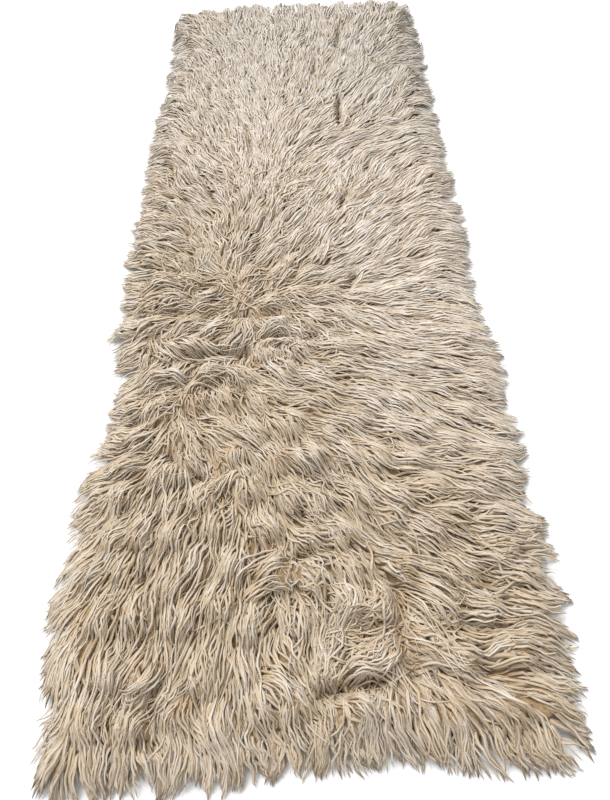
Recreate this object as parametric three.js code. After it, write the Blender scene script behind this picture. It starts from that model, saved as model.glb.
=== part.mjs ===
// A long-pile wool runner that lies flat: one woven piece, whose combed pile is a lumpy slab with
// pointed locks all round its rim. Millimetres, +Z up, length along Y, near end towards -Y, and the
// origin on the floor under the middle.
import * as THREE from "three";

// Overall size, over the tips of the locks
const OVERALL_LENGTH = 2134;
const LOCK_REACH = 60; // from the slab's edge to the tip of a long lock

// The slab of pile
const SLAB_HALF_LENGTH = OVERALL_LENGTH / 2 - LOCK_REACH;
const LOFT = 32; // height of the combed pile, before its tufts
const RIM_HEIGHT = 18; // height of the slab's edge, where the pile thins
const RIM_SLOPE = 80; // distance in from the edge over which the pile gains its loft
const CORNER_RADIUS = 46;
const COLUMNS = 28; // cells across; each edge cell bears one lock
const ROWS = 94; // cells along, from end to end
const CORNER_ROWS = 3; // of them, those that turn each round corner
const CELL_JITTER = 3.5; // how far a point of the top strays sideways

// Tufts: clumps of pile that rise towards their tips, like shingles
const TUFT_PITCH = 62;
const TUFT_TAIL = 48; // from the middle of a tuft back to where it starts to rise
const TUFT_NOSE = 26; // from its middle forward to its tip
const TUFT_HALF_WIDTH = 30;
const TUFT_HEIGHT = 19; // of the highest ones
const TUFT_UNEVENNESS = 0.4; // share by which the lowest tufts fall short of the highest
const TUFT_STRAYING = 0.3; // share of the pitch by which tufts stray from even rows
const TUFT_RIM_SHARE = 0.25; // share of their height that tufts keep at the slab's edge
const SWELL_HEIGHT = 3.5; // slow rise and fall of the whole pile
const SWELL_LENGTH = 330; // of one rise and fall along the rug
const SWELL_WIDTH = 565; // and across it

// Locks at the rim: a root as wide as an edge cell, two rings, and a tip on the floor
const LOCK_RINGS = [
  { along: 0.34, width: 16, height: 14, arch: 3 },
  { along: 0.7, width: 10.5, height: 8, arch: 0 },
];
const LOCK_TIP_HEIGHT = 1.2;
const LOCK_TOP_SHARE = 0.5; // width of a lock's top over the width of its base
const LOCK_SHORTENING = 0.42; // share by which the shortest locks fall short of the longest
const LOCK_TURN_SPREAD = 0.1; // radians by which locks differ in heading
const LOCK_LEAN = 0.42; // how far locks follow the comb and not the rim's normal
const LOCK_SWAY = 3; // sideways wave of a lock
const LOCK_WAVES = 0.8; // waves along a lock

// Distance from the middle line to the tips of the locks, on either side, at places along Y
const SIDE_TABLE = [
  { along: 1067, left: 362, right: 356 },
  { along: 900, left: 374, right: 372 },
  { along: 670, left: 361, right: 386 },
  { along: 460, left: 376, right: 379 },
  { along: 280, left: 375, right: 372 },
  { along: 120, left: 364, right: 368 },
  { along: -30, left: 377, right: 365 },
  { along: -220, left: 360, right: 358 },
  { along: -410, left: 350, right: 366 },
  { along: -590, left: 366, right: 371 },
  { along: -740, left: 368, right: 365 },
  { along: -860, left: 381, right: 370 },
  { along: -970, left: 358, right: 364 },
  { along: -1067, left: 362, right: 346 },
];

// Heading of the combed pile, from root to tip, in degrees anticlockwise from +X, at places along Y
const COMB_ACROSS = {
  leftRim: -360,
  left: -220,
  leftMiddle: -100,
  rightMiddle: 40,
  right: 180,
  rightRim: 340,
};
const COMB_TABLE = [
  { along: 1000, leftRim: 140, left: 112, leftMiddle: 100, rightMiddle: 88, right: 78, rightRim: 55 },
  { along: 800, leftRim: 158, left: 118, leftMiddle: 102, rightMiddle: 80, right: 76, rightRim: 42 },
  { along: 600, leftRim: 150, left: 110, leftMiddle: 96, rightMiddle: 72, right: 62, rightRim: 26 },
  { along: 400, leftRim: 148, left: 120, leftMiddle: 104, rightMiddle: 58, right: 46, rightRim: 18 },
  { along: 200, leftRim: 146, left: 124, leftMiddle: 90, rightMiddle: 56, right: 48, rightRim: 18 },
  { along: 0, leftRim: 162, left: 130, leftMiddle: 80, rightMiddle: 60, right: 46, rightRim: 22 },
  { along: -150, leftRim: 170, left: 138, leftMiddle: 58, rightMiddle: 50, right: 24, rightRim: 8 },
  { along: -300, leftRim: 178, left: 202, leftMiddle: 20, rightMiddle: -4, right: 2, rightRim: 0 },
  { along: -450, leftRim: 190, left: 235, leftMiddle: 290, rightMiddle: -12, right: -20, rightRim: -8 },
  { along: -600, leftRim: 198, left: 232, leftMiddle: 296, rightMiddle: -22, right: -18, rightRim: -8 },
  { along: -750, leftRim: 212, left: 248, leftMiddle: 278, rightMiddle: -48, right: -28, rightRim: -5 },
  { along: -900, leftRim: 238, left: 262, leftMiddle: 272, rightMiddle: -72, right: -38, rightRim: -14 },
  { along: -1030, leftRim: 258, left: 268, leftMiddle: 275, rightMiddle: -78, right: -66, rightRim: -44 },
];

// Valleys where the pile parts, from one end to the other
const PARTINGS = [
  { fromX: 128, fromY: 520, toX: 138, toY: 345, halfWidth: 20, depth: 12 },
  { fromX: -262, fromY: -392, toX: -85, toY: -398, halfWidth: 22, depth: 15 },
  { fromX: -70, fromY: -318, toX: 20, toY: -345, halfWidth: 22, depth: 12 },
  { fromX: 100, fromY: -145, toX: 108, toY: -240, halfWidth: 18, depth: 9 },
  { fromX: -165, fromY: -610, toX: -105, toY: -690, halfWidth: 20, depth: 11 },
  { fromX: -20, fromY: -800, toX: 60, toY: -745, halfWidth: 20, depth: 10 },
  { fromX: 125, fromY: -850, toX: 140, toY: -965, halfWidth: 22, depth: 12 },
];

// A pseudo-random number from 0 to 1 that depends only on its three whole numbers.
function noise(i, j, k) {
  const mixed = Math.sin(i * 127.1 + j * 311.7 + k * 74.7) * 43758.5453;
  return mixed - Math.floor(mixed);
}

// The same, from -1 to 1.
const spread = (i, j, k) => 2 * noise(i, j, k) - 1;

// From 0 to 1, level at both ends.
function smooth(value) {
  const t = THREE.MathUtils.clamp(value, 0, 1);
  return t * t * (3 - 2 * t);
}

// The two rows of a table, ordered by falling "along", that a place lies between, and how far it
// lies from the first to the second.
function between(table, along) {
  const last = table.length - 1;
  const found = table.findIndex((row) => row.along <= along);
  const next = found === -1 ? last : Math.max(found, 1);
  const before = table[next - 1];
  const after = table[next];
  const share = (before.along - along) / (before.along - after.along);
  return { before, after, share: THREE.MathUtils.clamp(share, 0, 1) };
}

// Distance from the middle line to the lock tips on one side, "left" or "right".
function tipDistance(side, along) {
  const { before, after, share } = between(SIDE_TABLE, along);
  return THREE.MathUtils.lerp(before[side], after[side], smooth(share));
}

// Unit vector along the combed pile at a place: the table's headings blended as vectors.
function combAt(x, y) {
  const { before, after, share } = between(COMB_TABLE, y);
  const names = Object.keys(COMB_ACROSS);
  const found = names.findIndex((name) => COMB_ACROSS[name] >= x);
  const right = found === -1 ? names.length - 1 : Math.max(found, 1);
  const [a, b] = [names[right - 1], names[right]];
  const sideways = THREE.MathUtils.clamp((x - COMB_ACROSS[a]) / (COMB_ACROSS[b] - COMB_ACROSS[a]), 0, 1);
  const heading = (row, name) => {
    const angle = THREE.MathUtils.degToRad(row[name]);
    return new THREE.Vector2(Math.cos(angle), Math.sin(angle));
  };
  const far = heading(before, a).lerp(heading(before, b), sideways);
  const near = heading(after, a).lerp(heading(after, b), sideways);
  return far.lerp(near, share).normalize();
}

// Where a row of the slab lies along Y and how far its ends are drawn in: a few rows turn each round
// corner by equal angles, and the others are evenly spaced.
function rowPlace(row) {
  const fromEnd = Math.min(row, ROWS - row);
  const turn = (Math.PI / 2) * Math.min(1, fromEnd / CORNER_ROWS);
  const step = (SLAB_HALF_LENGTH - CORNER_RADIUS) / (ROWS / 2 - CORNER_ROWS);
  const straight = step * Math.max(0, fromEnd - CORNER_ROWS);
  const distance = CORNER_RADIUS * (1 - Math.cos(turn)) + straight;
  const side = row < ROWS / 2 ? -1 : 1;
  return { y: side * (SLAB_HALF_LENGTH - distance), drawnIn: CORNER_RADIUS * (1 - Math.sin(turn)) };
}

// Where a row meets the slab's uneven sides.
function rowEnds(row) {
  const { y, drawnIn } = rowPlace(row);
  const left = -(tipDistance("left", y) - LOCK_REACH - drawnIn);
  const right = tipDistance("right", y) - LOCK_REACH - drawnIn;
  return { y, left, right };
}

// How deep a place lies in the valleys of the partings.
function partingDepth(x, y) {
  const place = new THREE.Vector3(x, y, 0);
  const nearest = new THREE.Vector3();
  const depths = PARTINGS.map((parting) => {
    const from = new THREE.Vector3(parting.fromX, parting.fromY, 0);
    const to = new THREE.Vector3(parting.toX, parting.toY, 0);
    new THREE.Line3(from, to).closestPointToPoint(place, true, nearest);
    return parting.depth * (1 - smooth(nearest.distanceTo(place) / parting.halfWidth));
  });
  return Math.max(0, ...depths);
}

// Height that the tufts near a place add: each starts low, rises along the comb and drops at its tip.
function tuftHeight(x, y) {
  const column = Math.round(x / TUFT_PITCH);
  const row = Math.round(y / TUFT_PITCH);
  let highest = 0;
  for (let j = row - 1; j <= row + 1; j += 1) {
    for (let i = column - 1; i <= column + 1; i += 1) {
      const middleX = (i + (j % 2) / 2 + TUFT_STRAYING * spread(i, j, 1)) * TUFT_PITCH;
      const middleY = (j + TUFT_STRAYING * spread(i, j, 2)) * TUFT_PITCH;
      const comb = combAt(middleX, middleY);
      const forward = (x - middleX) * comb.x + (y - middleY) * comb.y;
      const aside = (y - middleY) * comb.x - (x - middleX) * comb.y;
      const rise = smooth((forward + TUFT_TAIL) / TUFT_TAIL);
      const drop = 1 - smooth((forward - TUFT_NOSE / 2) / TUFT_NOSE);
      const round = Math.max(0, 1 - (aside / TUFT_HALF_WIDTH) ** 2);
      const size = TUFT_HEIGHT * (1 - TUFT_UNEVENNESS * noise(i, j, 3));
      highest = Math.max(highest, size * rise * drop * round);
    }
  }
  return highest;
}

// Height of the pile's top at a place that lies a given distance in from the slab's edge.
function pileHeight(x, y, inside) {
  const gain = Math.sin((Math.PI / 2) * THREE.MathUtils.clamp(inside / RIM_SLOPE, 0, 1));
  const swell = SWELL_HEIGHT * Math.sin(2 * Math.PI * (y / SWELL_LENGTH + x / SWELL_WIDTH));
  const tuft = tuftHeight(x, y);
  const full = LOFT + swell + tuft - partingDepth(x, y);
  return THREE.MathUtils.lerp(RIM_HEIGHT + TUFT_RIM_SHARE * tuft, full, gain);
}

// A mesh's points and triangles while it is made.
class Surface {
  points = [];
  triangles = [];

  point(x, y, z) {
    this.points.push(x, y, z);
    return this.points.length / 3 - 1;
  }

  triangle(a, b, c) {
    this.triangles.push(a, b, c);
  }

  quad(a, b, c, d) {
    this.triangle(a, b, c);
    this.triangle(a, c, d);
  }

  at(index) {
    return new THREE.Vector3().fromArray(this.points, 3 * index);
  }

  geometry() {
    const made = new THREE.BufferGeometry();
    made.setAttribute("position", new THREE.Float32BufferAttribute(this.points, 3));
    made.setIndex(this.triangles);
    made.computeVertexNormals();
    return made;
  }
}

// The top of the pile: a grid over the plan. Returns the rows of its point numbers.
function addTop(surface) {
  const rows = [];
  for (let row = 0; row <= ROWS; row += 1) {
    const numbers = [];
    const ends = rowEnds(row);
    for (let column = 0; column <= COLUMNS; column += 1) {
      const onRim = row % ROWS === 0 || column % COLUMNS === 0;
      const jitter = onRim ? 0 : CELL_JITTER;
      const straight = THREE.MathUtils.lerp(ends.left, ends.right, column / COLUMNS);
      const fromSide = Math.min(straight - ends.left, ends.right - straight);
      const inside = Math.min(fromSide, SLAB_HALF_LENGTH - Math.abs(ends.y));
      const x = straight + jitter * spread(row, column, 4);
      const y = ends.y + jitter * spread(row, column, 5);
      numbers.push(surface.point(x, y, pileHeight(x, y, inside)));
    }
    rows.push(numbers);
  }
  for (let row = 0; row < ROWS; row += 1) {
    for (let column = 0; column < COLUMNS; column += 1) {
      const [a, b] = [rows[row][column], rows[row][column + 1]];
      const [d, c] = [rows[row + 1][column], rows[row + 1][column + 1]];
      surface.quad(a, b, c, d);
    }
  }
  return rows;
}

// The numbers of the top's rim points, anticlockwise from the near left corner.
function rimOf(rows) {
  const near = rows[0].slice(0, COLUMNS);
  const right = rows.slice(0, ROWS).map((numbers) => numbers[COLUMNS]);
  const far = rows[ROWS].slice(1).reverse();
  const left = rows.slice(1).map((numbers) => numbers[0]).reverse();
  return [...near, ...right, ...far, ...left];
}

// The flat underside, on the floor. Returns the numbers of its points, under those of the rim.
function addUnderside(surface, rim) {
  const ring = rim.map((number) => {
    const { x, y } = surface.at(number);
    return surface.point(x, y, 0);
  });
  const outline = ring.map((number) => {
    const { x, y } = surface.at(number);
    return new THREE.Vector2(x, y);
  });
  for (const [a, b, c] of THREE.ShapeUtils.triangulateShape(outline, [])) {
    surface.triangle(ring[c], ring[b], ring[a]);
  }
  return ring;
}

// One lock, out of the edge cell between two rim points. It keeps its base on the floor, but for a
// low arch by its root, and narrows to its tip.
function addLock(surface, root, place, length, heading) {
  const outward = new THREE.Vector2(Math.cos(heading), Math.sin(heading));
  const aside = new THREE.Vector2(-outward.y, outward.x);
  const centreAt = (share) => {
    const sway = LOCK_SWAY * Math.sin(2 * Math.PI * (LOCK_WAVES * share + heading));
    return place.clone().addScaledVector(outward, length * share).addScaledVector(aside, sway * share);
  };
  let ring = root;
  for (const { along, width, height, arch } of LOCK_RINGS) {
    const centre = centreAt(along);
    const corner = (half, z) => surface.point(centre.x + aside.x * half, centre.y + aside.y * half, z);
    const base = width / 2;
    const top = base * LOCK_TOP_SHARE;
    const next = [corner(-base, arch), corner(base, arch), corner(top, height), corner(-top, height)];
    ring.forEach((number, side) => {
      const after = (side + 1) % ring.length;
      surface.quad(number, ring[after], next[after], next[side]);
    });
    ring = next;
  }
  const end = centreAt(1);
  const tip = surface.point(end.x, end.y, LOCK_TIP_HEIGHT);
  ring.forEach((number, side) => surface.triangle(number, ring[(side + 1) % ring.length], tip));
}

// The slab's walls: every edge cell is the root of a lock.
function addLocks(surface, rim, ring) {
  rim.forEach((number, cell) => {
    const after = (cell + 1) % rim.length;
    const from = surface.at(ring[cell]);
    const to = surface.at(ring[after]);
    const place = new THREE.Vector2((from.x + to.x) / 2, (from.y + to.y) / 2);
    const normal = new THREE.Vector2(to.y - from.y, from.x - to.x).normalize();
    const comb = combAt(place.x, place.y);
    const lean = normal.clone().multiplyScalar(1 - LOCK_LEAN).addScaledVector(comb, LOCK_LEAN);
    const heading = lean.angle() + LOCK_TURN_SPREAD * spread(cell, 7, 6);
    const reach = LOCK_REACH / Math.max(0.7, Math.cos(heading - normal.angle()));
    const length = reach * (1 - LOCK_SHORTENING * noise(cell, 3, 8) ** 2);
    addLock(surface, [ring[cell], ring[after], rim[after], number], place, length, heading);
  });
}

function makeRunner() {
  const surface = new Surface();
  const rim = rimOf(addTop(surface));
  const ring = addUnderside(surface, rim);
  addLocks(surface, rim, ring);
  const wool = new THREE.MeshStandardMaterial({ color: 0xd8cbb2, roughness: 0.95, metalness: 0 });
  const solid = surface.geometry();
  solid.computeBoundingBox();
  const middle = solid.boundingBox.getCenter(new THREE.Vector3());
  solid.translate(-middle.x, -middle.y, 0);
  const mesh = new THREE.Mesh(solid, wool);
  mesh.name = "flokati_runner";
  return mesh;
}

const runner = new THREE.Group();
runner.add(makeRunner());

export default runner;
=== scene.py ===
# %% [markdown]
# # A flokati runner
#
# This lesson dresses a long-pile wool rug. The real rug is a woven wool ground with loops of thick,
# loosely spun wool pulled through it. A hot wash felts the ground tight and lets the ends of the loops
# spin into soft pointed locks, some 8 to 11 cm long, which are then combed down flat by use.
#
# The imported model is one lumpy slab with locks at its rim. It settles the size, and here it is
# replaced by the rug's finer form: the woven ground, some twenty thousand locks that follow the comb,
# the felted tangles, and the stray wisps. All of it is worked out from short tables of the comb's
# headings, because fur is ordered: what the eye reads is where each lock points and which lies on top.

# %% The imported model
from math import radians, tau

import bpy
import numpy as np
from mathutils import Matrix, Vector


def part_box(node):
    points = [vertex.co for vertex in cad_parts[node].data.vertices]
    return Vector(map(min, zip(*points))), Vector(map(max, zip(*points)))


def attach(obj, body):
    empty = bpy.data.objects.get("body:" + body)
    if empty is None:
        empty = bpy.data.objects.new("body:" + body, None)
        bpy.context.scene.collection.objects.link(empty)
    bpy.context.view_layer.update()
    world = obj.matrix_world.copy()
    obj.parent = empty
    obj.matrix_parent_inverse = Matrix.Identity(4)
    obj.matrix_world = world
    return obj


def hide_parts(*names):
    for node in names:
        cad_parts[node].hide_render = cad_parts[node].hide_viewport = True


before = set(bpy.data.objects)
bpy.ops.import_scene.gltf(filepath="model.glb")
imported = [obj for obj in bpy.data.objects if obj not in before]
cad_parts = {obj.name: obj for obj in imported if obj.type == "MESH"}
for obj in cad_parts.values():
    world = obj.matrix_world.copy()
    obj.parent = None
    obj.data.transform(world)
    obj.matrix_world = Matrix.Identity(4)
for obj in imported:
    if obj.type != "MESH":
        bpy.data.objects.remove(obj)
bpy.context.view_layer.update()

NODE = "flokati_runner"
low, high = (np.array(corner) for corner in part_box(NODE))
print("size of the packed rug:", (high - low).round(3), "m")

# %% [markdown]
# ## Camera
#
# The picture is taken from over the near end, some 0.9 m above the floor, looking down at 55 degrees.
# A wide lens makes the near end much wider than the far one. The camera's place and turns were fitted
# to places in the picture whose distances are known, so here they are plain numbers, and the three
# turns are put together in the order heading, pitch, roll.

# %% Camera
EYE = (0.0513, -1.1063, 0.9054)
PITCH = 55.158  # degrees down from level
HEADING = -3.911  # degrees right of straight ahead
ROLL = 6.501  # degrees by which the camera leans
LENS_MM = 27.0  # on a 36 mm wide sensor, along the picture's longer side


def unit(vector):
    """The vector divided by its length; whole arrays of vectors work too."""
    vector = np.asarray(vector, float)
    return vector / np.maximum(np.linalg.norm(vector, axis=-1, keepdims=True), 1e-12)


def pose(right, up, backward, place):
    """The matrix of an object whose three axes and place are given: each is a column of it."""
    matrix = np.eye(4)
    matrix[:3] = np.column_stack([right, up, backward, place])
    return Matrix(matrix.tolist())


def make_camera():
    """The camera looks along `ahead`; `right` is level, then both side axes turn by the roll."""
    pitch, heading, roll = radians(PITCH), radians(HEADING), radians(ROLL)
    ahead = np.array([np.sin(heading) * np.cos(pitch), np.cos(heading) * np.cos(pitch), -np.sin(pitch)])
    right = np.array([np.cos(heading), -np.sin(heading), 0.0])
    down = np.cross(ahead, right)
    across = np.cos(roll) * right + np.sin(roll) * down
    up = np.sin(roll) * right - np.cos(roll) * down
    data = bpy.data.cameras.new("camera")
    data.lens = LENS_MM
    data.sensor_width = 36.0
    data.sensor_fit = "AUTO"
    data.clip_start = 0.02
    camera = bpy.data.objects.new("camera", data)
    camera.matrix_world = pose(across, up, -ahead, EYE)
    bpy.context.scene.collection.objects.link(camera)
    bpy.context.scene.camera = camera
    return camera


camera = make_camera()
print("camera at", tuple(round(v, 3) for v in camera.matrix_world.translation))

# %% [markdown]
# ## Outline
#
# The rug's sides aren't straight: the outer locks reach further in some places than in others. Three
# short tables say how far the tips reach left and right of the middle line, and at the two ends. The
# woven ground ends some 5 cm inside the tips, so that the outer locks hang over its edge.

# %% Outline
HALF_LENGTH = 1.067
REACH = 0.048  # from the ground's edge to the tips of long locks
GROUND_CORNER = 0.022  # radius of the ground's corners
TIP_CORNER = 0.020  # radius of the corners of the tips' outline


def table(names, rows):
    """The rows of a table, each as a dictionary from the columns' names to the row's values."""
    return [dict(zip(names, row)) for row in rows]


SIDES = table(("along", "left", "right"), [
    (-1.067, 0.364, 0.356),
    (-0.970, 0.374, 0.370),
    (-0.850, 0.390, 0.380),
    (-0.750, 0.376, 0.378),
    (-0.690, 0.384, 0.368),
    (-0.590, 0.378, 0.378),
    (-0.520, 0.352, 0.376),
    (-0.440, 0.350, 0.378),
    (-0.370, 0.362, 0.378),
    (-0.300, 0.386, 0.366),
    (-0.250, 0.362, 0.366),
    (-0.200, 0.378, 0.370),
    (-0.030, 0.386, 0.378),
    (0.120, 0.380, 0.380),
    (0.320, 0.386, 0.380),
    (0.460, 0.389, 0.384),
    (0.610, 0.372, 0.389),
    (0.780, 0.376, 0.391),
    (0.975, 0.382, 0.390),
    (1.100, 0.374, 0.380),
])
NEAR_END = table(("across", "reach"), [
    (-0.360, 1.084),
    (-0.115, 1.081),
    (-0.030, 1.066),
    (0.150, 1.060),
    (0.260, 1.071),
    (0.360, 1.066),
])
FAR_END = table(("across", "reach"), [  # the far end runs a little askew
    (-0.360, 1.097),
    (-0.230, 1.097),
    (-0.100, 1.094),
    (0.030, 1.076),
    (0.160, 1.066),
    (0.290, 1.066),
    (0.370, 1.056),
])

print("places that settle the outline:", len(SIDES) + len(NEAR_END) + len(FAR_END))

# %% [markdown]
# Everything later asks one question of the outline: how far inside it is a place? The answer shapes
# the rim of the pile, stops the locks at the edge and splays them there. Easing from one row of a
# table to the next keeps the outline smooth.

# %% Distance in from the outline
def column(rows, name):
    """One named column of a table, as an array."""
    return np.array([row[name] for row in rows], float)


def smooth(value):
    """From 0 to 1, level at both ends: 3 t squared less 2 t cubed."""
    t = np.clip(value, 0, 1)
    return t * t * (3 - 2 * t)


def eased(places, values, where):
    """Value at a place, eased from one row of a table to the next."""
    row = np.clip(np.searchsorted(places, where) - 1, 0, len(places) - 2)
    share = (where - places[row]) / (places[row + 1] - places[row])
    return values[row] + (values[row + 1] - values[row]) * smooth(share)


def side_at(name, y):
    """Distance from the middle line to the tips on one side."""
    return eased(column(SIDES, "along"), column(SIDES, name), y)


def end_reach(end, x):
    """How far from the rug's middle the tips reach at one of its ends."""
    return eased(column(end, "across"), column(end, "reach"), x)


def inside(x, y):
    """Distance in from the outline of the tips: the least of the gaps to the sides and the ends,
    with corners rounded as a circle rounds them."""
    side_gap = np.minimum(x + side_at("left", y), side_at("right", y) - x)
    end_gap = np.minimum(y + end_reach(NEAR_END, x), end_reach(FAR_END, x) - y)
    short = np.stack([TIP_CORNER - side_gap, TIP_CORNER - end_gap], -1)
    turn = TIP_CORNER - np.linalg.norm(np.maximum(short, 0), axis=-1)
    return np.where(short.min(-1) > 0, turn, np.minimum(side_gap, end_gap))


print("width over the tips at the middle:", float(side_at("left", 0.0) + side_at("right", 0.0)))

# %% [markdown]
# ## The comb
#
# The lie of the pile is what makes this rug itself and no other. A table gives the heading of the
# pile, from root to tip, in degrees anticlockwise from the rug's right, in nine columns across and
# rows along its length. Between its entries the headings are blended as vectors, because blended
# degrees would turn the long way round from 350 to 10. Near the rim the locks also splay outwards.
#
# The worn places are added by name: fans, where locks leave a point on all sides, and tangles, where
# they have felted together and point anywhere.

# %% Comb
COMB_ACROSS = (-0.36, -0.27, -0.18, -0.09, 0.00, 0.09, 0.18, 0.27, 0.36)
COMB = {  # distance along the rug, then the heading at each of the places across it
    -1.05: (258, 265, 275, 288, 286, 274, 288, 310, 322),
    -0.98: (255, 263, 273, 285, 282, 258, 300, 330, 340),
    -0.92: (248, 262, 272, 278, 276, 255, 322, 344, 350),
    -0.82: (234, 247, 255, 264, 290, 308, 338, 346, 350),
    -0.72: (220, 238, 257, 290, 312, 320, 340, 350, 352),
    -0.62: (190, 206, 290, 300, 310, 325, 335, 345, 350),
    -0.52: (185, 225, 317, 327, 337, 325, 322, 332, 342),
    -0.42: (184, 204, 262, 296, 340, 335, 335, 340, 346),
    -0.35: (180, 206, 218, 236, 330, 326, 342, 348, 350),
    -0.28: (180, 200, 205, 300, 345, 345, 350, 352, 354),
    -0.22: (178, 186, 165, 62, 25, 24, 12, 8, 5),
    -0.12: (170, 148, 118, 64, 62, 48, 38, 22, 12),
    0.00: (160, 138, 112, 78, 58, 56, 54, 38, 22),
    0.16: (152, 127, 113, 84, 64, 62, 65, 46, 38),
    0.28: (154, 130, 115, 96, 60, 22, 12, 15, 16),
    0.38: (150, 122, 118, 108, 70, 55, 62, 48, 18),
    0.58: (146, 106, 99, 95, 84, 70, 66, 50, 28),
    0.78: (154, 112, 108, 96, 73, 64, 86, 60, 44),
    1.00: (160, 120, 110, 99, 92, 85, 82, 74, 62),
}
SPLAY = 0.7  # how strongly the locks turn outwards where they leave the ground
SPLAY_START = 0.030  # inwards from the tips, where the splay is at its full
SPLAY_DEPTH = 0.035  # inwards from the ground's edge
SWIRL = 2.2  # turn of the comb in tangles, in radians
SWIRL_PITCH = 0.055
WAVER = 0.62  # how far the lie wavers to either side of the comb, in radians
WAVER_PITCH = 0.028
WAVER_CALM = 0.35  # share of both wavers that smooth combing takes away
SWAY = 0.30  # the same over longer stretches
SWAY_PITCH = 0.085
FANS = table(("x", "y", "radius", "pull"), [
    (0.130, -0.955, 0.040, 0.6),
    (-0.025, -0.795, 0.035, 0.6),
    (-0.235, -0.545, 0.035, 0.4),
    (0.110, -0.215, 0.030, 0.3),
])
TANGLES = table(("x", "y", "radius", "strength"), [
    (-0.205, -0.200, 0.042, 0.9),
    (-0.160, -0.235, 0.035, 0.6),
    (-0.020, -0.350, 0.042, 0.8),
    (0.035, -0.325, 0.030, 0.5),
    (-0.140, -0.430, 0.042, 0.8),
    (-0.220, -0.470, 0.050, 0.8),
    (-0.130, -0.635, 0.042, 0.9),
    (0.000, -0.630, 0.030, 0.9),
    (0.005, -0.735, 0.030, 0.7),
    (-0.035, -0.800, 0.030, 0.9),
    (0.155, -0.850, 0.052, 0.8),
    (0.080, -0.900, 0.048, 0.8),
    (0.045, -0.965, 0.040, 0.6),
    (0.330, -0.770, 0.030, 0.5),
    (-0.200, -0.950, 0.040, 0.5),
    (-0.050, -0.980, 0.050, 0.6),
    (-0.080, -0.260, 0.045, 0.7),
    (-0.145, 0.130, 0.040, 0.5),
    (-0.020, 0.080, 0.048, 0.7),
    (0.110, 0.040, 0.040, 0.4),
])
CALM = table(("x", "y", "radius"), [  # smooth, well combed places
    (0.24, -0.45, 0.20),
    (0.22, -0.15, 0.22),
    (0.12, 0.20, 0.26),
    (0.00, 0.68, 0.48),
])

print("headings given by hand:", sum(len(row) for row in COMB.values()))

# %% [markdown]
# Wool is never even, so most values below drift a little. A drift has to be the same each time and
# change slowly from place to place, so it comes from a formula of the place and not from a generator.

# %% Drifts and turns
def hashed(i, j, k):
    """A pseudo-random share from 0 to 1 that depends only on three whole numbers: the fraction of a
    large multiple of a sine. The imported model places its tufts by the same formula."""
    mixed = np.sin(i * 127.1 + j * 311.7 + k * 74.7) * 43758.5453
    return mixed - np.floor(mixed)


def drift(x, y, pitch, k):
    """A slow random wave from -1 to 1: random values on a square lattice, eased between its points."""
    u, v = x / pitch, y / pitch
    i, j = np.floor(u), np.floor(v)
    a, b = smooth(u - i), smooth(v - j)
    near = hashed(i, j, k) * (1 - a) + hashed(i + 1, j, k) * a
    far = hashed(i, j + 1, k) * (1 - a) + hashed(i + 1, j + 1, k) * a
    return 2 * (near * (1 - b) + far * b) - 1


def turned(vectors, angle):
    """Plane vectors turned anticlockwise by an angle each."""
    x, y = vectors[..., 0], vectors[..., 1]
    cos, sin = np.cos(angle), np.sin(angle)
    return np.stack([x * cos - y * sin, x * sin + y * cos], -1)


def bump_at(row, x, y):
    """A round hill of height 1 at a table row's place: the bell curve of distance over radius."""
    return np.exp(-((x - row["x"]) ** 2 + (y - row["y"]) ** 2) / row["radius"] ** 2)


def outwards(x, y):
    """Unit vectors towards the nearest rim: the steepest way down in distance from the rim."""
    step = 0.004
    slope_x = inside(x + step, y) - inside(x - step, y)
    slope_y = inside(x, y + step) - inside(x, y - step)
    return -unit(np.stack([slope_x, slope_y], -1))

print("drift at the rug's middle:", round(float(drift(0.0, 0.0, SWAY_PITCH, 16)), 3))

# %% Heading of the pile at a place
def comb_at(x, y):
    """Unit vectors along the comb. Each column's heading is blended along the rug, the two nearest
    columns are blended across it, fans add a push away from their middle, tangles turn it to and fro,
    and near the ground's edge it is pushed out."""
    places, along = np.array(COMB_ACROSS), list(COMB)
    angles = np.radians(list(COMB.values())).T
    cosines = np.array([np.interp(y, along, np.cos(angle)) for angle in angles])
    sines = np.array([np.interp(y, along, np.sin(angle)) for angle in angles])
    first = np.clip(np.searchsorted(places, x) - 1, 0, len(places) - 2)
    share = np.clip((x - places[first]) / (places[first + 1] - places[first]), 0, 1)
    each = np.arange(len(x))
    parts = [part[first, each] * (1 - share) + part[first + 1, each] * share for part in (cosines, sines)]
    flow = unit(np.stack(parts, -1))
    for fan in FANS:
        away = unit(np.stack([x - fan["x"], y - fan["y"]], -1))
        flow = flow + fan["pull"] * bump_at(fan, x, y)[:, None] * away
    flow = turned(flow, SWIRL * tangled(x, y) * drift(x, y, SWIRL_PITCH, 14))
    gap = inside(x, y)
    splay = SPLAY * smooth(gap / SPLAY_START) * (1 - smooth((gap - REACH) / SPLAY_DEPTH))
    return unit(flow + splay[:, None] * outwards(x, y))


def tangled(x, y):
    """How felted the pile is at a place, from 0 to 1."""
    return np.clip(sum(row["strength"] * bump_at(row, x, y) for row in TANGLES), 0, 1)


def calm_at(x, y):
    """How smoothly the pile lies at a place, from 0 to 1."""
    return np.clip(sum(bump_at(row, x, y) for row in CALM), 0, 1)


sample = comb_at(np.array([0.3]), np.array([-0.9]))[0]
sample_heading = np.degrees(np.arctan2(sample[1], sample[0]))
print("heading near the right front corner:", round(float(sample_heading)), "degrees")

# %% [markdown]
# ## Height of the pile
#
# The combed pile is a few centimetres deep. It swells in slow waves, rises in tufts whose tips overlap
# like shingles, dips where it parts, and falls away to the floor at the rim. The tufts and the
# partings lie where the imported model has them.

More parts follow.
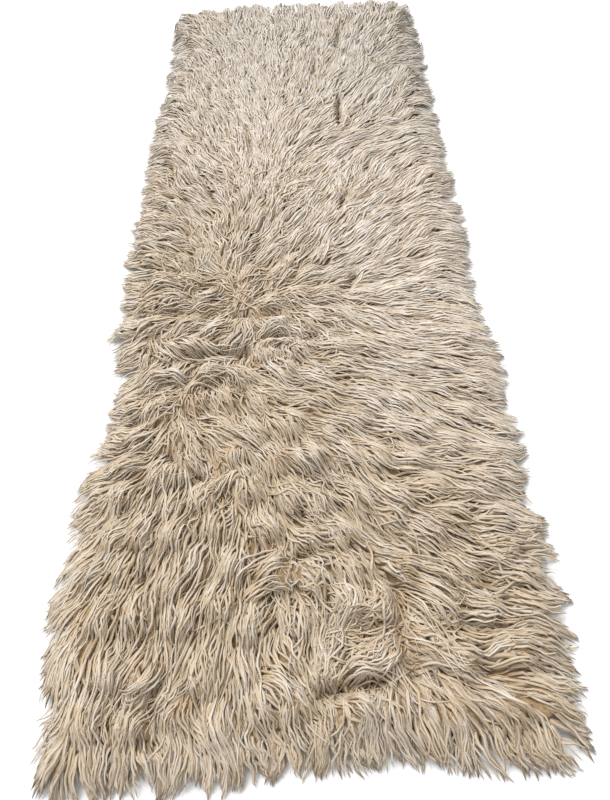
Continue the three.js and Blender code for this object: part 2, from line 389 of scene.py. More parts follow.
# %% Height
LOFT = 0.032  # of the combed pile, before its tufts
RIM_SLOPE = 0.090  # distance in from the tips over which the pile gains its loft
RIM_LOW = 0.004  # height of the pile right at the tips
STEEPENING = 0.78  # share by which that distance is less at the far end
STEEP_FROM = 0.90  # along the rug
STEEP_BY = 0.10  # over which it steepens
TUFT_PITCH = 0.062
TUFT_TAIL = 0.048
TUFT_NOSE = 0.023
TUFT_CALM = 0.6  # share of a tuft's height that smooth combing takes away
TUFT_HALF_WIDTH = 0.030
TUFT_HEIGHT = 0.022
TUFT_UNEVENNESS = 0.4
TUFT_STRAYING = 0.3
HOLLOW_DEPTH = 0.009  # below its surroundings, at which a hollow gets its darkest painted shade
HOLLOW_REACH = 4  # lattice steps to every side that count as a place's surroundings
SWELL_HEIGHT = 0.0035
SWELL_LENGTH = 0.330
SWELL_WIDTH = 0.565
PARTINGS = table(("x0", "y0", "x1", "y1", "half_width", "depth"), [
    (0.145, 0.865, 0.140, 0.765, 0.016, 0.012),
    (0.072, 0.705, 0.060, 0.625, 0.014, 0.014),
    (-0.236, 0.600, -0.232, 0.540, 0.012, 0.011),
    (0.128, 0.500, 0.122, 0.365, 0.014, 0.014),
    (-0.122, 0.385, -0.108, 0.255, 0.012, 0.012),
    (-0.215, 0.140, -0.200, 0.105, 0.014, 0.010),
    (0.120, 0.075, 0.103, 0.015, 0.014, 0.010),
    (0.100, -0.235, 0.118, -0.195, 0.014, 0.012),
    (-0.125, -0.283, -0.035, -0.295, 0.013, 0.012),
    (-0.290, -0.368, -0.205, -0.392, 0.016, 0.013),
    (-0.195, -0.388, -0.095, -0.378, 0.017, 0.014),
    (-0.060, -0.348, 0.030, -0.350, 0.016, 0.012),
    (-0.300, -0.527, -0.262, -0.518, 0.014, 0.012),
    (-0.222, -0.600, -0.165, -0.645, 0.014, 0.013),
    (-0.025, -0.793, 0.015, -0.778, 0.014, 0.013),
    (0.128, -0.825, 0.142, -0.955, 0.016, 0.013),
    (0.020, -0.975, 0.100, -0.962, 0.014, 0.013),
    (-0.245, -0.985, -0.200, -0.990, 0.014, 0.010),
])

print("partings:", len(PARTINGS))

# %% Tufts, partings and the rim
def tuft_height(x, y):
    """Height that the nearest tufts add: each rises along the comb and drops at its tip."""
    across, along = np.round(x / TUFT_PITCH), np.round(y / TUFT_PITCH)
    highest = np.zeros_like(x)
    for row in (along - 1, along, along + 1):
        for place in (across - 1, across, across + 1):
            offset = np.fmod(row, 2) / 2
            middle_x = (place + offset + TUFT_STRAYING * (2 * hashed(place, row, 1) - 1)) * TUFT_PITCH
            middle_y = (row + TUFT_STRAYING * (2 * hashed(place, row, 2) - 1)) * TUFT_PITCH
            comb = comb_at(middle_x, middle_y)
            forward = (x - middle_x) * comb[:, 0] + (y - middle_y) * comb[:, 1]
            aside = (y - middle_y) * comb[:, 0] - (x - middle_x) * comb[:, 1]
            rise = smooth((forward + TUFT_TAIL) / TUFT_TAIL)
            drop = 1 - smooth((forward - TUFT_NOSE / 2) / TUFT_NOSE)
            crown = np.maximum(0, 1 - (aside / TUFT_HALF_WIDTH) ** 2)
            size = TUFT_HEIGHT * (1 - TUFT_UNEVENNESS * hashed(place, row, 3))
            highest = np.maximum(highest, size * rise * drop * crown)
    return highest * (1 - TUFT_CALM * calm_at(x, y))


def parting_depth(x, y):
    """Depth of the deepest parting at a place, from the distance to each parting's line."""
    deepest = np.zeros_like(x)
    for row in PARTINGS:
        line = np.array([row["x1"] - row["x0"], row["y1"] - row["y0"]])
        share = np.clip(((x - row["x0"]) * line[0] + (y - row["y0"]) * line[1]) / (line @ line), 0, 1)
        gap = np.hypot(x - row["x0"] - share * line[0], y - row["y0"] - share * line[1])
        deepest = np.maximum(deepest, row["depth"] * (1 - smooth(gap / row["half_width"])))
    return deepest


def full_height(x, y):
    """Height of the pile's top: loft, swell and tufts less partings, gained inwards from the rim."""
    slope = RIM_SLOPE * (1 - STEEPENING * smooth((y - STEEP_FROM) / STEEP_BY))
    gain = np.sin(tau / 4 * np.clip(inside(x, y) / slope, 0, 1))
    swell = SWELL_HEIGHT * np.sin(tau * (y / SWELL_LENGTH + x / SWELL_WIDTH))
    full = LOFT + swell + tuft_height(x, y) - parting_depth(x, y)
    return RIM_LOW + (full - RIM_LOW) * gain


print("height at the rug's middle:", round(float(full_height(*np.zeros((2, 1)))[0]) * 1000), "mm")

# %% [markdown]
# ## Lattices
#
# Every lock asks for the height at each of its steps, and every bundle for the comb, some two hundred
# thousand times in all. So both are worked out once on a fine lattice and looked up from then on. The lattice
# also shows what no formula does: where a place lies lower than its surroundings, which is where painted
# shade goes, and where the comb leaves a place on both sides.

# %% Lattices
GRID_STEP = 0.005
HALF_FIELD_ACROSS = 0.42  # the lattices reach so far from the rug's middle
HALF_FIELD_ALONG = 1.10
grid_x = np.arange(-HALF_FIELD_ACROSS, HALF_FIELD_ACROSS + 0.0001, GRID_STEP)
grid_y = np.arange(-HALF_FIELD_ALONG, HALF_FIELD_ALONG + 0.0001, GRID_STEP)
lattice_x, lattice_y = (side.ravel() for side in np.meshgrid(grid_x, grid_y))
shape = (len(grid_y), len(grid_x))
height_grid = full_height(lattice_x, lattice_y).reshape(shape)
comb_flat = comb_at(lattice_x, lattice_y)
comb_grid = comb_flat.reshape(*shape, 2)
waver = WAVER * drift(lattice_x, lattice_y, WAVER_PITCH, 15)
waver = waver + SWAY * drift(lattice_x, lattice_y, SWAY_PITCH, 16)
flow_grid = turned(comb_flat, waver * (1 - WAVER_CALM * calm_at(lattice_x, lattice_y))).reshape(*shape, 2)
print("lattice points:", len(lattice_x))


# %% Hollows and looking up
def averaged(grid, reach):
    """The grid's average over a square of so many lattice steps to every side."""
    weights = np.full(2 * reach + 1, 1 / (2 * reach + 1))

    def averaged_line(line):
        return np.convolve(np.pad(line, reach, "edge"), weights, "valid")

    for axis in (0, 1):
        grid = np.apply_along_axis(averaged_line, axis, grid)
    return grid


# Places lower than their surroundings get painted shade: their locks are painted duller and warmer.
hollow = np.clip((averaged(height_grid, HOLLOW_REACH) - height_grid) / HOLLOW_DEPTH, 0, 1)
hollow_shade_grid = hollow * smooth((inside(lattice_x, lattice_y) - 0.03) / 0.06).reshape(shape)


def look_up(grid, x, y):
    """Value of a lattice at places, blended from the four lattice points round each."""
    u = np.clip((x - grid_x[0]) / GRID_STEP, 0, shape[1] - 1.001)
    v = np.clip((y - grid_y[0]) / GRID_STEP, 0, shape[0] - 1.001)
    i, j = u.astype(int), v.astype(int)
    a, b = u - i, v - j
    if grid.ndim == 3:
        a, b = a[..., None], b[..., None]
    near = grid[j, i] * (1 - a) + grid[j, i + 1] * a
    far = grid[j + 1, i] * (1 - a) + grid[j + 1, i + 1] * a
    return near * (1 - b) + far * b


def opening(x, y):
    """How strongly the comb leaves a place on both sides: the change of its x part across plus that
    of its y part along, in turns of one radian per metre."""
    change_x = np.gradient(comb_grid[..., 0], GRID_STEP, axis=1)
    change_y = np.gradient(comb_grid[..., 1], GRID_STEP, axis=0)
    return look_up(change_x + change_y, x, y)


print("highest place of the pile:", round(float(height_grid.max()) * 1000), "mm")

# %% [markdown]
# ## A mesh from arrays
#
# Thousands of locks are only practical as one mesh whose points, faces and maps are set from whole
# arrays. A helper takes the points, the corners of all faces in one row, and the size of each face.

# %% Mesh helper
def make_piece(name, points, corners, sizes, material, maps=(), values=()):
    """A mesh object at the origin. `corners` lists the faces' points one face after another, and
    `sizes` how many each has; `maps` are UV maps, and `values` numbers for each point."""
    mesh = bpy.data.meshes.new(name)
    mesh.vertices.add(len(points))
    mesh.vertices.foreach_set("co", np.ascontiguousarray(points, np.float32).ravel())
    mesh.loops.add(len(corners))
    mesh.loops.foreach_set("vertex_index", np.ascontiguousarray(corners, np.int32))
    mesh.polygons.add(len(sizes))
    starts = np.concatenate([[0], np.cumsum(sizes)[:-1]])
    mesh.polygons.foreach_set("loop_start", starts.astype(np.int32))
    mesh.polygons.foreach_set("use_smooth", np.full(len(sizes), True))
    mesh.update(calc_edges=True)
    for map_name, places in maps:
        layer = mesh.uv_layers.new(name=map_name, do_init=False)
        layer.uv.foreach_set("vector", np.ascontiguousarray(places, np.float32).ravel())
    for value_name, numbers in values:
        layer = mesh.attributes.new(value_name, "FLOAT", "POINT")
        layer.data.foreach_set("value", np.ascontiguousarray(numbers, np.float32))
    mesh.materials.append(material)
    piece = bpy.data.objects.new(name, mesh)
    bpy.context.scene.collection.objects.link(piece)
    triangles = int((np.asarray(sizes) - 2).sum())
    print(f"{name}: {triangles} triangles")
    return piece


# %% [markdown]
# ## Wool
#
# Undyed wool is a warm cream that differs from lock to lock, yellower where it has felted, and duller at the
# roots, partly from dust and partly as painted shade deep in the pile. Each lock is a loose bundle of fibres,
# so fine streaks run along it. The material reads four numbers that the mesh carries at every point, and a
# map that runs round and along each lock. Wool scatters light softly at its edges, which is what sheen does.
#
# One colour and one image could do this too, but only numbers at the points let every lock differ.

# %% Wool
PALE = (0.872, 0.846, 0.822, 1)
CREAM = (0.715, 0.648, 0.562, 1)
WARM = (0.690, 0.565, 0.400, 1)
GREY = (0.715, 0.704, 0.690, 1)
# Browner at the roots: partly dust, partly painted shade deep in the pile.
ROOT = (0.500, 0.335, 0.175, 1)
# Painted shade: the dark brown of the felt deep in the gaps.
PAINTED_SHADE = (0.310, 0.200, 0.095, 1)
WOOL_FINISH = {
    "Roughness": 0.82,
    "Specular IOR Level": 0.12,
    "Sheen Weight": 0.10,
    "Sheen Roughness": 0.5,
    "Sheen Tint": (0.95, 0.82, 0.65, 1),
}
FELT_FINISH = {"Roughness": 0.9, "Sheen Weight": 0.2}
STREAKS_ALONG = 25  # to a metre of a lock's length
FLATNESS_OF_SHADING = 0.65  # 0 shades the three-sided locks as if round, 1 as they are

print("colours of the wool:", len((PALE, CREAM, WARM, GREY, ROOT, PAINTED_SHADE)))


# %% Helpers for materials
def new_material(name, inputs):
    """A material of one shader whose sockets are set, with its nodes, their links and that shader."""
    material = bpy.data.materials.new(name)
    material.use_nodes = True
    nodes, links = material.node_tree.nodes, material.node_tree.links
    shader = nodes["Principled BSDF"]
    for socket, value in inputs.items():
        shader.inputs[socket].default_value = value
    return material, nodes, links, shader


def add(nodes, kind, inputs=None, **settings):
    """A node of a kind with its plain settings made and the constants on its sockets set."""
    node = nodes.new(kind)
    for name, value in settings.items():
        setattr(node, name, value)
    for socket, value in (inputs or {}).items():
        node.inputs[socket].default_value = value
    return node


def mix_colours(nodes, links, share, first, second, how="MIX"):
    """A colour mixed from two, each a colour or a socket, by a share, a number or a socket."""
    mix = add(nodes, "ShaderNodeMix", data_type="RGBA", blend_type=how)
    for socket, value in ((mix.inputs[0], share), (mix.inputs[6], first), (mix.inputs[7], second)):
        if isinstance(value, bpy.types.NodeSocket):
            links.new(value, socket)
        else:
            socket.default_value = value
    return mix.outputs[2]


def product(nodes, links, first, second):
    """Two numbers multiplied."""
    multiplied = add(nodes, "ShaderNodeMath", operation="MULTIPLY")
    links.new(first, multiplied.inputs[0])
    links.new(second, multiplied.inputs[1])
    return multiplied.outputs[0]


def relief_on(nodes, links, shader, height, strength, distance):
    """Gives the shader a relief as high as the distance, and gives back the relief's node."""
    relief = add(nodes, "ShaderNodeBump", {"Strength": strength, "Distance": distance})
    links.new(height, relief.inputs["Height"])
    links.new(relief.outputs[0], shader.inputs["Normal"])
    return relief


# %% Wool of the strands and of the broad locks
def wool_material(name, dusk, relief, fineness):
    """Cream wool: tone between cream and pale by lock, warmer where felted, greyer towards the far end, and
    darker at the root, partly dust and partly painted shade. Noise that is stretched along the lock makes its
    streaks, whose dark ones are multiplied by dusk; they are as deep as the relief and so many to a metre of
    girth."""
    material, nodes, links, shader = new_material(name, WOOL_FINISH)
    tone, warmth, greyness, along = (
        add(nodes, "ShaderNodeAttribute", attribute_name=number).outputs["Fac"]
        for number in ("tone", "warmth", "greyness", "along"))
    fibre_map = add(nodes, "ShaderNodeUVMap", uv_map="fibre")
    stretch = add(nodes, "ShaderNodeMapping", {"Scale": (fineness, STREAKS_ALONG, 1)})
    links.new(fibre_map.outputs[0], stretch.inputs["Vector"])
    noise = {"Scale": 1.0, "Detail": 3.0, "Roughness": 0.6}
    fibres = add(nodes, "ShaderNodeTexNoise", noise, noise_dimensions="2D")
    links.new(stretch.outputs[0], fibres.inputs["Vector"])
    base = mix_colours(nodes, links, tone, CREAM, PALE)
    base = mix_colours(nodes, links, greyness, base, GREY)
    base = mix_colours(nodes, links, warmth, base, WARM)
    # Towards the root the wool is mixed with ROOT: partly dust, partly painted shade.
    climb = {"From Max": 0.4, "To Min": 0.6, "To Max": 0.0}
    rise = add(nodes, "ShaderNodeMapRange", climb, interpolation_type="SMOOTHSTEP")
    links.new(along, rise.inputs["Value"])
    base = mix_colours(nodes, links, rise.outputs[0], base, ROOT)
    streak = add(nodes, "ShaderNodeMapRange", {"From Min": 0.36, "From Max": 0.62})
    links.new(fibres.outputs["Fac"], streak.inputs["Value"])
    dusky = mix_colours(nodes, links, 1.0, base, dusk, "MULTIPLY")
    links.new(mix_colours(nodes, links, streak.outputs[0], dusky, base), shader.inputs["Base Color"])
    ridges = relief_on(nodes, links, shader, fibres.outputs["Fac"], 0.6, relief)
    surface = add(nodes, "ShaderNodeNewGeometry")
    flatter = add(nodes, "ShaderNodeMix", data_type="VECTOR")
    flatter.inputs[0].default_value = FLATNESS_OF_SHADING
    links.new(surface.outputs["Normal"], flatter.inputs[4])
    links.new(surface.outputs["True Normal"], flatter.inputs[5])
    of_one_length = add(nodes, "ShaderNodeVectorMath", operation="NORMALIZE")
    links.new(flatter.outputs[1], of_one_length.inputs[0])
    links.new(of_one_length.outputs[0], ridges.inputs["Normal"])
    return material


strand_wool = wool_material("strand_wool", (0.76, 0.64, 0.48, 1), 0.0010, 480)
# The broad locks lie deep and show in the gaps, so their darker dusk is partly fibre streaks and partly
# painted shade.
lock_wool = wool_material("lock_wool", (0.56, 0.43, 0.29, 1), 0.0025, 420)
print("materials:", strand_wool.name, "and", lock_wool.name)

# %% [markdown]
# ## The woven ground
#
# Under the pile is a thick plain weave of wool yarn, felted tight. It is the sheet that the maker
# weaves and cuts, about 0.68 by 2.07 m, and its underside lies on the floor. It could be a plane with
# a Solidify modifier. Here its top, underside and edge are one closed grid, so that its outline can
# follow the table. The weave is a bump of crossing waves on the sheet's own map.
#
# The feet of the pile are matted together into a soft springy felt, which is what one sees deep in the gaps
# between locks. Its dark brown is painted shade of those gaps. It is the same closed grid, with its top a
# little under the pile's.

# %% Ground
GROUND_THICK = 0.003
GROUND_CELL = 0.026
YARN_PITCH = 0.0042
FELT_CELL = 0.0110
FELT_DEPTH = 0.0120  # of the felt's top under the pile's
FELT_UNEVENNESS = 0.0025
CLEARANCE = 0.0002  # between the ground's top and the felt's underside, and the same again above it
ASKEW_FROM = 0.5  # along the rug, where the ground starts to follow its skewed far end
OPENING_LOW = 4  # how open the comb is where the feet start to crowd together
OPENING_RANGE = 12  # and how much more open where they crowd most


def ground_material():
    """Felted cream weave: two sets of waves at right angles, each high where the other is low."""
    material, nodes, links, shader = new_material("woven_ground", FELT_FINISH)
    cloth_map = add(nodes, "ShaderNodeUVMap", uv_map="cloth")
    yarns = []
    for direction in ("X", "Y"):
        wave = {"Scale": tau / YARN_PITCH / 20, "Distortion": 1.2, "Detail": 1.0}
        yarn = add(nodes, "ShaderNodeTexWave", wave, bands_direction=direction)
        links.new(cloth_map.outputs[0], yarn.inputs["Vector"])
        yarns.append(yarn.outputs["Fac"])
    crossing = product(nodes, links, *yarns)
    links.new(mix_colours(nodes, links, crossing, ROOT, CREAM), shader.inputs["Base Color"])
    relief_on(nodes, links, shader, crossing, 0.7, 0.001)
    return material


def felt_material():
    """Matted wool, mottled by two sizes of noise, darkest where the coarse one is low. Its dark browns are
    painted shade of the deep gaps where it is seen.
    """
    material, nodes, links, shader = new_material("matted_feet", FELT_FINISH)
    place = add(nodes, "ShaderNodeTexCoord")
    mottles = []
    for scale in (90.0, 520.0):
        noise = add(nodes, "ShaderNodeTexNoise", {"Scale": scale, "Detail": 3.0})
        links.new(place.outputs["Object"], noise.inputs["Vector"])
        mottles.append(noise.outputs["Fac"])
    spread = add(nodes, "ShaderNodeMapRange", {"From Min": 0.12, "From Max": 0.38})
    links.new(product(nodes, links, *mottles), spread.inputs["Value"])
    links.new(mix_colours(nodes, links, spread.outputs[0], PAINTED_SHADE, ROOT), shader.inputs["Base Color"])
    relief_on(nodes, links, shader, mottles[1], 0.8, 0.002)
    return material


cloth, matted = ground_material(), felt_material()
print("materials:", cloth.name, "and", matted.name)


# %% Ground and felt
def ground_outline(count):
    """The ground's place along the rug and its left and right edges, for rows that stand closer
    together at the ends, drawn in as quarter circles at the corners."""
    half = HALF_LENGTH - REACH
    share = np.linspace(0, 1, count + 1)
    y = half * (share - 0.5 - 0.5 * np.cos(np.pi * share))
    into = np.clip((np.abs(y) - (half - GROUND_CORNER)) / GROUND_CORNER, 0, 1)
    drawn_in = REACH + GROUND_CORNER * (1 - np.sqrt(1 - into**2))
    return y, -(side_at("left", y) - drawn_in), side_at("right", y) - drawn_in


def make_layer(name, cell, under, top_at, material):
    """A closed layer within the ground's outline: a grid for its top at the heights that top_at
    gives, a strip round the edge, and one level face below. Also its area in plan."""
    y, left, right = ground_outline(round(2 * HALF_LENGTH / cell))
    across = np.linspace(0, 1, round(0.7 / cell) + 1)
    x = left[:, None] + (right - left)[:, None] * across
    askew = smooth((y[:, None] - ASKEW_FROM) / (HALF_LENGTH - REACH - ASKEW_FROM))
    askew = (end_reach(FAR_END, x) - HALF_LENGTH) * askew
    plan = np.stack([x, y[:, None] + askew], -1).reshape(-1, 2)
    top = np.column_stack([plan, top_at(*plan.T)])
    number = np.arange(len(plan)).reshape(x.shape)
    cells = np.stack([number[:-1, :-1], number[:-1, 1:], number[1:, 1:], number[1:, :-1]], -1)
    cells = cells.reshape(-1, 4)
    rim = np.concatenate([number[0, :-1], number[:-1, -1], number[-1, :0:-1], number[:0:-1, 0]])
    bottom = np.column_stack([plan[rim], np.full(len(rim), under)])
    foot = len(plan) + np.arange(len(rim))
    wall = np.stack([foot, np.roll(foot, -1), np.roll(rim, -1), rim], -1)
    points = np.concatenate([top, bottom])
    corners = np.concatenate([cells.ravel(), wall.ravel(), foot[::-1]])
    sizes = np.concatenate([np.full(len(cells) + len(wall), 4), [len(foot)]])
    piece = make_piece(name, points, corners, sizes, material, [("cloth", points[corners, :2])])
    first, second = plan[cells[:, 2]] - plan[cells[:, 0]], plan[cells[:, 3]] - plan[cells[:, 1]]
    return piece, float(np.abs(first[:, 0] * second[:, 1] - first[:, 1] * second[:, 0]).sum() / 2)


def crowding(x, y):
    """How much the roots crowd together at a place because the comb opens there, from 0 to 1."""
    return smooth((opening(x, y) - OPENING_LOW) / OPENING_RANGE)


def felt_top(x, y):
    """The pile's height less the felt's depth, uneven, and never under the ground's top. It is less
    deep where the comb opens, because the roots crowd together there."""
    uneven = FELT_UNEVENNESS * drift(x, y, 0.013, 41)
    depth = FELT_DEPTH * (1 - 0.4 * crowding(x, y))
    return np.maximum(look_up(height_grid, x, y) - depth + uneven, GROUND_THICK + 2 * CLEARANCE)


flat_top = lambda x, y: np.full(len(x), GROUND_THICK)
ground, ground_area = make_layer("woven_ground", GROUND_CELL, 0.0, flat_top, cloth)
felt, _ = make_layer("matted_feet", FELT_CELL, GROUND_THICK + CLEARANCE, felt_top, matted)
print("area of the ground:", round(ground_area, 3), "m2")

# %% [markdown]
# ## Where locks are rooted
#
# Roots stand in rows of the weave, but the wash shifts them, so they are scattered: one in each cell
# of a square lattice, at a random place in the cell. Neighbouring locks felt together a little and
# come out as bundles that share their heading, their length and their waves. A bundle is the same
# kind of lattice, coarser, and a lock belongs to the bundle whose middle is nearest. Where the comb
# opens, no locks lie over from behind, so that place gets more roots, or it would look bald.

# %% Roots
rng = np.random.default_rng(20)


def scatter(pitch, margin):
    """One random place in each cell of a lattice, kept where it lies further than margin inside the
    outline of the tips."""
    across = np.arange(-HALF_FIELD_ACROSS, HALF_FIELD_ACROSS, pitch)
    along = np.arange(-HALF_FIELD_ALONG, HALF_FIELD_ALONG, pitch)
    x, y = (side.ravel() for side in np.meshgrid(across, along))
    x = x + pitch * rng.random(len(x))
    y = y + pitch * rng.random(len(y))
    kept = inside(x, y) > margin
    return np.stack([x[kept], y[kept]], -1)


def nearest(places, middles, pitch):
    """For each place, the nearest of the middles. Both are sorted into square bins, and only the bins
    around a place are searched, one ring of them."""
    bins = {}
    keys = np.floor(middles / pitch).astype(int)
    for index, key in enumerate(map(tuple, keys)):
        bins.setdefault(key, []).append(index)
    most = max(len(found) for found in bins.values())
    low_key = keys.min(0) - 2
    span = keys.max(0) - low_key + 3
    binned = np.full((*span, most), -1)
    for key, found in bins.items():
        binned[key[0] - low_key[0], key[1] - low_key[1], : len(found)] = found
    here = np.clip(np.floor(places / pitch).astype(int) - low_key, 1, span - 2)
    shifts = np.array([(i, j) for i in (-1, 0, 1) for j in (-1, 0, 1)])
    around = here[:, None] + shifts
    found = binned[around[..., 0], around[..., 1]].reshape(len(places), -1)
    gap = np.linalg.norm(middles[found] - places[:, None], axis=-1)
    gap[found < 0] = np.inf
    return found[np.arange(len(places)), gap.argmin(1)]


# %% [markdown]
# ## How a lock lies
#
# A bundle starts along the comb at its root and keeps some of its own heading as it goes, turned at
# each step towards the comb where it has got to. That is how combed hair lies: it swings round
# corners, but late. At the rim it is shortened until its tip is inside the outline. Side waves are
# added, which are small and shared on combed pile, and large where the pile is tangled.
#
# Each lock is its bundle's path moved to its own root, drawn towards the bundle's middle at the tip,
# with a turn, a length and a small wave of its own. Its height comes last: it climbs out of the felt
# to its own depth under the pile's top, and its tip sinks in among the locks ahead of it.

# %% Paths
FURTHEST_OUT = 0.009  # that a tip may lie outside the outline of the tips
ROOT_TURN = 0.05  # radians by which bundles' headings differ from the comb at their roots
KNOT_ROOT_TURN = 0.20  # and further where the pile is knotted; the values below are like that too
LENGTH_SPREAD = 0.15  # by which bundles' lengths differ, as a share
KNOT_SHORTENING = 0.2
KNOT_CURL = 2.4  # radians from root to tip
KEPT = 0.42  # share of its last heading that a bundle keeps at each step
KNOT_KEPT = 0.2
WAVE_LEAST = 0.0012  # side waves of a bundle
WAVE_SPREAD = 0.0014
KNOT_WAVE = 2  # how many times as much again
OWN_WAVE_LEAST = 0.0003  # side waves of one lock in its bundle
OWN_WAVE_SPREAD = 0.0009
OWN_KNOT_WAVE = 0.0007
PHASE_PITCH = 0.060  # of the drift in the phase of bundles' waves
SHORTEST = 0.30  # share of its length that a lock lacks at most, against its bundle
BARE_TURN = 0.3  # radians by which locks spread where the ground would be bare
RAGGED = 0.022  # how unevenly bundles end at the rim
DRAW_AT_RIM = 0.85  # how far a bundle's locks come together there
SINK = 0.004  # of a lock's tip among the locks ahead of it
FLOOR_GAP = 0.0022  # under the middle line of the lowest lock
HEAVE = 0.0006  # slow wave up and down on the way


def follow(roots, heading, length, steps, keep, curl, hook):
    """Paths of equal steps: each step's direction is the last one times keep, plus the comb's there
    times the rest, turned by the curl, and towards the tip by the hook as well."""
    places = [roots]
    step = (length / steps)[:, None]
    for number in range(steps):
        here = places[-1]
        comb = look_up(flow_grid, here[:, 0], here[:, 1])
        heading = unit(keep[:, None] * heading + (1 - keep[:, None]) * comb)
        heading = turned(heading, (curl + hook * smooth((number + 1) / steps - 0.4)) / steps)
        places.append(here + step * heading)
    return np.stack(places, 1)


def fit_inside(paths, gap):
    """Paths drawn back towards their roots until their tips lie inside the outline by the gap."""
    root = paths[:, :1]
    share = np.full(len(paths), 0.25)
    for trial in np.linspace(0.25, 1.0, 26):
        tip = root[:, 0] + trial * (paths[:, -1] - root[:, 0])
        share = np.where(inside(tip[:, 0], tip[:, 1]) >= gap, trial, share)
    return root + share[:, None, None] * (paths - root)


def waves(paths, size, count, phase):
    """A side wave added across each path, growing from nothing at the root."""
    share = np.linspace(0, 1, paths.shape[1])
    way = unit(np.gradient(paths, axis=1))
    aside = np.stack([-way[..., 1], way[..., 0]], -1)
    swing = np.sin(tau * (count[:, None] * share + phase[:, None])) * smooth(share / 0.3)
    return paths + (size[:, None] * swing)[..., None] * aside


# %% Bundles
def bundle_paths(middles, length, steps):
    """The bundles' paths in plan, not yet shortened at the rim, and how tangled each is."""
    x, y = middles.T
    count = len(middles)
    knot = tangled(x, y)
    turn = (ROOT_TURN + KNOT_ROOT_TURN * knot) * rng.normal(size=count)
    heading = turned(look_up(flow_grid, x, y), turn)
    lengths = length * (1 + LENGTH_SPREAD * rng.normal(size=count).clip(-2, 2)) * (1 - KNOT_SHORTENING * knot)
    curl = knot * rng.normal(size=count) * KNOT_CURL
    hook = rng.normal(size=count)
    paths = follow(middles, heading, lengths, steps, KEPT + KNOT_KEPT * knot, curl, hook)
    size = (WAVE_LEAST + WAVE_SPREAD * rng.random(count)) * (1 + KNOT_WAVE * knot)
    wave_count = 2.0 + 0.5 * rng.random(count)
    phase = 0.6 * drift(x, y, PHASE_PITCH, 13) + 0.15 * rng.random(count)
    return waves(paths, size, wave_count, phase), knot


def settle(plan, depth, bare):
    """Paths in space over paths in plan: each climbs out of the felt, quickly where the ground would
    be bare, runs at its depth under the pile's top, and sinks in at its tip."""
    count, share = len(plan), np.linspace(0, 1, plan.shape[1])
    top = look_up(height_grid, plan[..., 0], plan[..., 1])
    fullness = np.clip(top / LOFT, 0.1, 1)
    sink = SINK * rng.random(count) ** 1.5
    below = depth[:, None] + sink[:, None] * smooth((share - 0.6) / 0.4)
    target = np.maximum(top - below * fullness, FLOOR_GAP)
    rise = smooth(share / (0.20 - 0.12 * bare)[:, None])
    heave = HEAVE * np.sin(tau * (1.3 * share + rng.random(count)[:, None])) * fullness
    foot = np.maximum(top[:, :1] - FELT_DEPTH - 0.003, GROUND_THICK)
    z = np.maximum(foot + (target - foot) * rise + heave * rise, FLOOR_GAP)
    return np.concatenate([plan, z[..., None]], -1)


# %% Locks in their bundles
def lock_paths(roots, pitch, length, steps, draw, depth_range, loose):
    """Paths in space of the locks at these roots, how felted each is, and from 0 to 1 how deep. They
    belong to bundles at the pitch, whose middles draw them in, and turn from them as loosely as said."""
    middles = scatter(pitch, REACH - 0.004)
    guides, knot = bundle_paths(middles, length, steps)
    bundle = nearest(roots, middles, pitch * 1.01)
    count = len(roots)
    share = np.linspace(0, 1, steps + 1)
    offset = roots - middles[bundle]
    bare = crowding(*roots.T)
    own_turn = rng.normal(size=count) * (loose * (1 + knot[bundle]) + BARE_TURN * bare)
    own_length = 1 - SHORTEST * rng.random(count) ** 1.5
    travel = turned(guides[bundle] - guides[bundle][:, :1], own_turn[:, None]) * own_length[:, None, None]
    plan = roots[:, None] + travel
    rim_gap = (RAGGED * rng.random(len(middles)) ** 2)[bundle] + 0.006 * rng.random(count) - 0.008
    plan = fit_inside(plan, rim_gap)
    at_rim = 1 - smooth((inside(*roots.T) - REACH) / 0.03)
    pull = draw + (DRAW_AT_RIM - draw) * at_rim
    plan = plan - (pull[:, None] * share**0.9)[..., None] * offset[:, None]
    own_size = OWN_WAVE_LEAST + OWN_WAVE_SPREAD * rng.random(count)
    own_size = own_size + OWN_KNOT_WAVE * knot[bundle] * rng.random(count)
    plan = waves(plan, own_size, 1.2 + 1.4 * rng.random(count), rng.random(count))
    plan = fit_inside(plan, -FURTHEST_OUT)
    rough = 0.9 - 0.6 * calm_at(*roots.T)
    layer = 0.75 * rng.random(len(middles))[bundle] + 0.25 * rng.random(count)
    roundness = 0.8 * np.linalg.norm(offset, axis=1) ** 2 / pitch
    depth = rough * (depth_range[0] + (depth_range[1] - depth_range[0]) * layer + roundness)
    return settle(plan, depth, bare), knot[bundle], layer


# %% [markdown]
# On a real rug the ground shows nowhere, because there are far more locks than a mesh can afford. So
# after a layer is laid, how many locks lie over each small cell is counted, and where they are few,
# some more are laid across, as if they had fallen over from behind.

# %% Fallen locks
def coverage(paths, width, cell):
    """How many locks lie over each cell of a lattice, on average, but for their climbing feet: the
    sum of width times length over the cell's area."""
    before, after = paths[:, 1:-1, None, :2], paths[:, 2:, None, :2]
    shares = np.array([1, 3, 5])[:, None] / 6  # the middles of a step's three thirds
    places = (before + (after - before) * shares).reshape(-1, 2)
    pieces = np.linalg.norm(paths[:, 2:] - paths[:, 1:-1], axis=-1) * width[:, None] / 3
    edges = np.arange(-0.42, 0.4201, cell), np.arange(-1.12, 1.1201, cell)
    return np.histogram2d(*places.T, bins=edges, weights=np.repeat(pieces.ravel(), 3))[0] / cell**2, edges


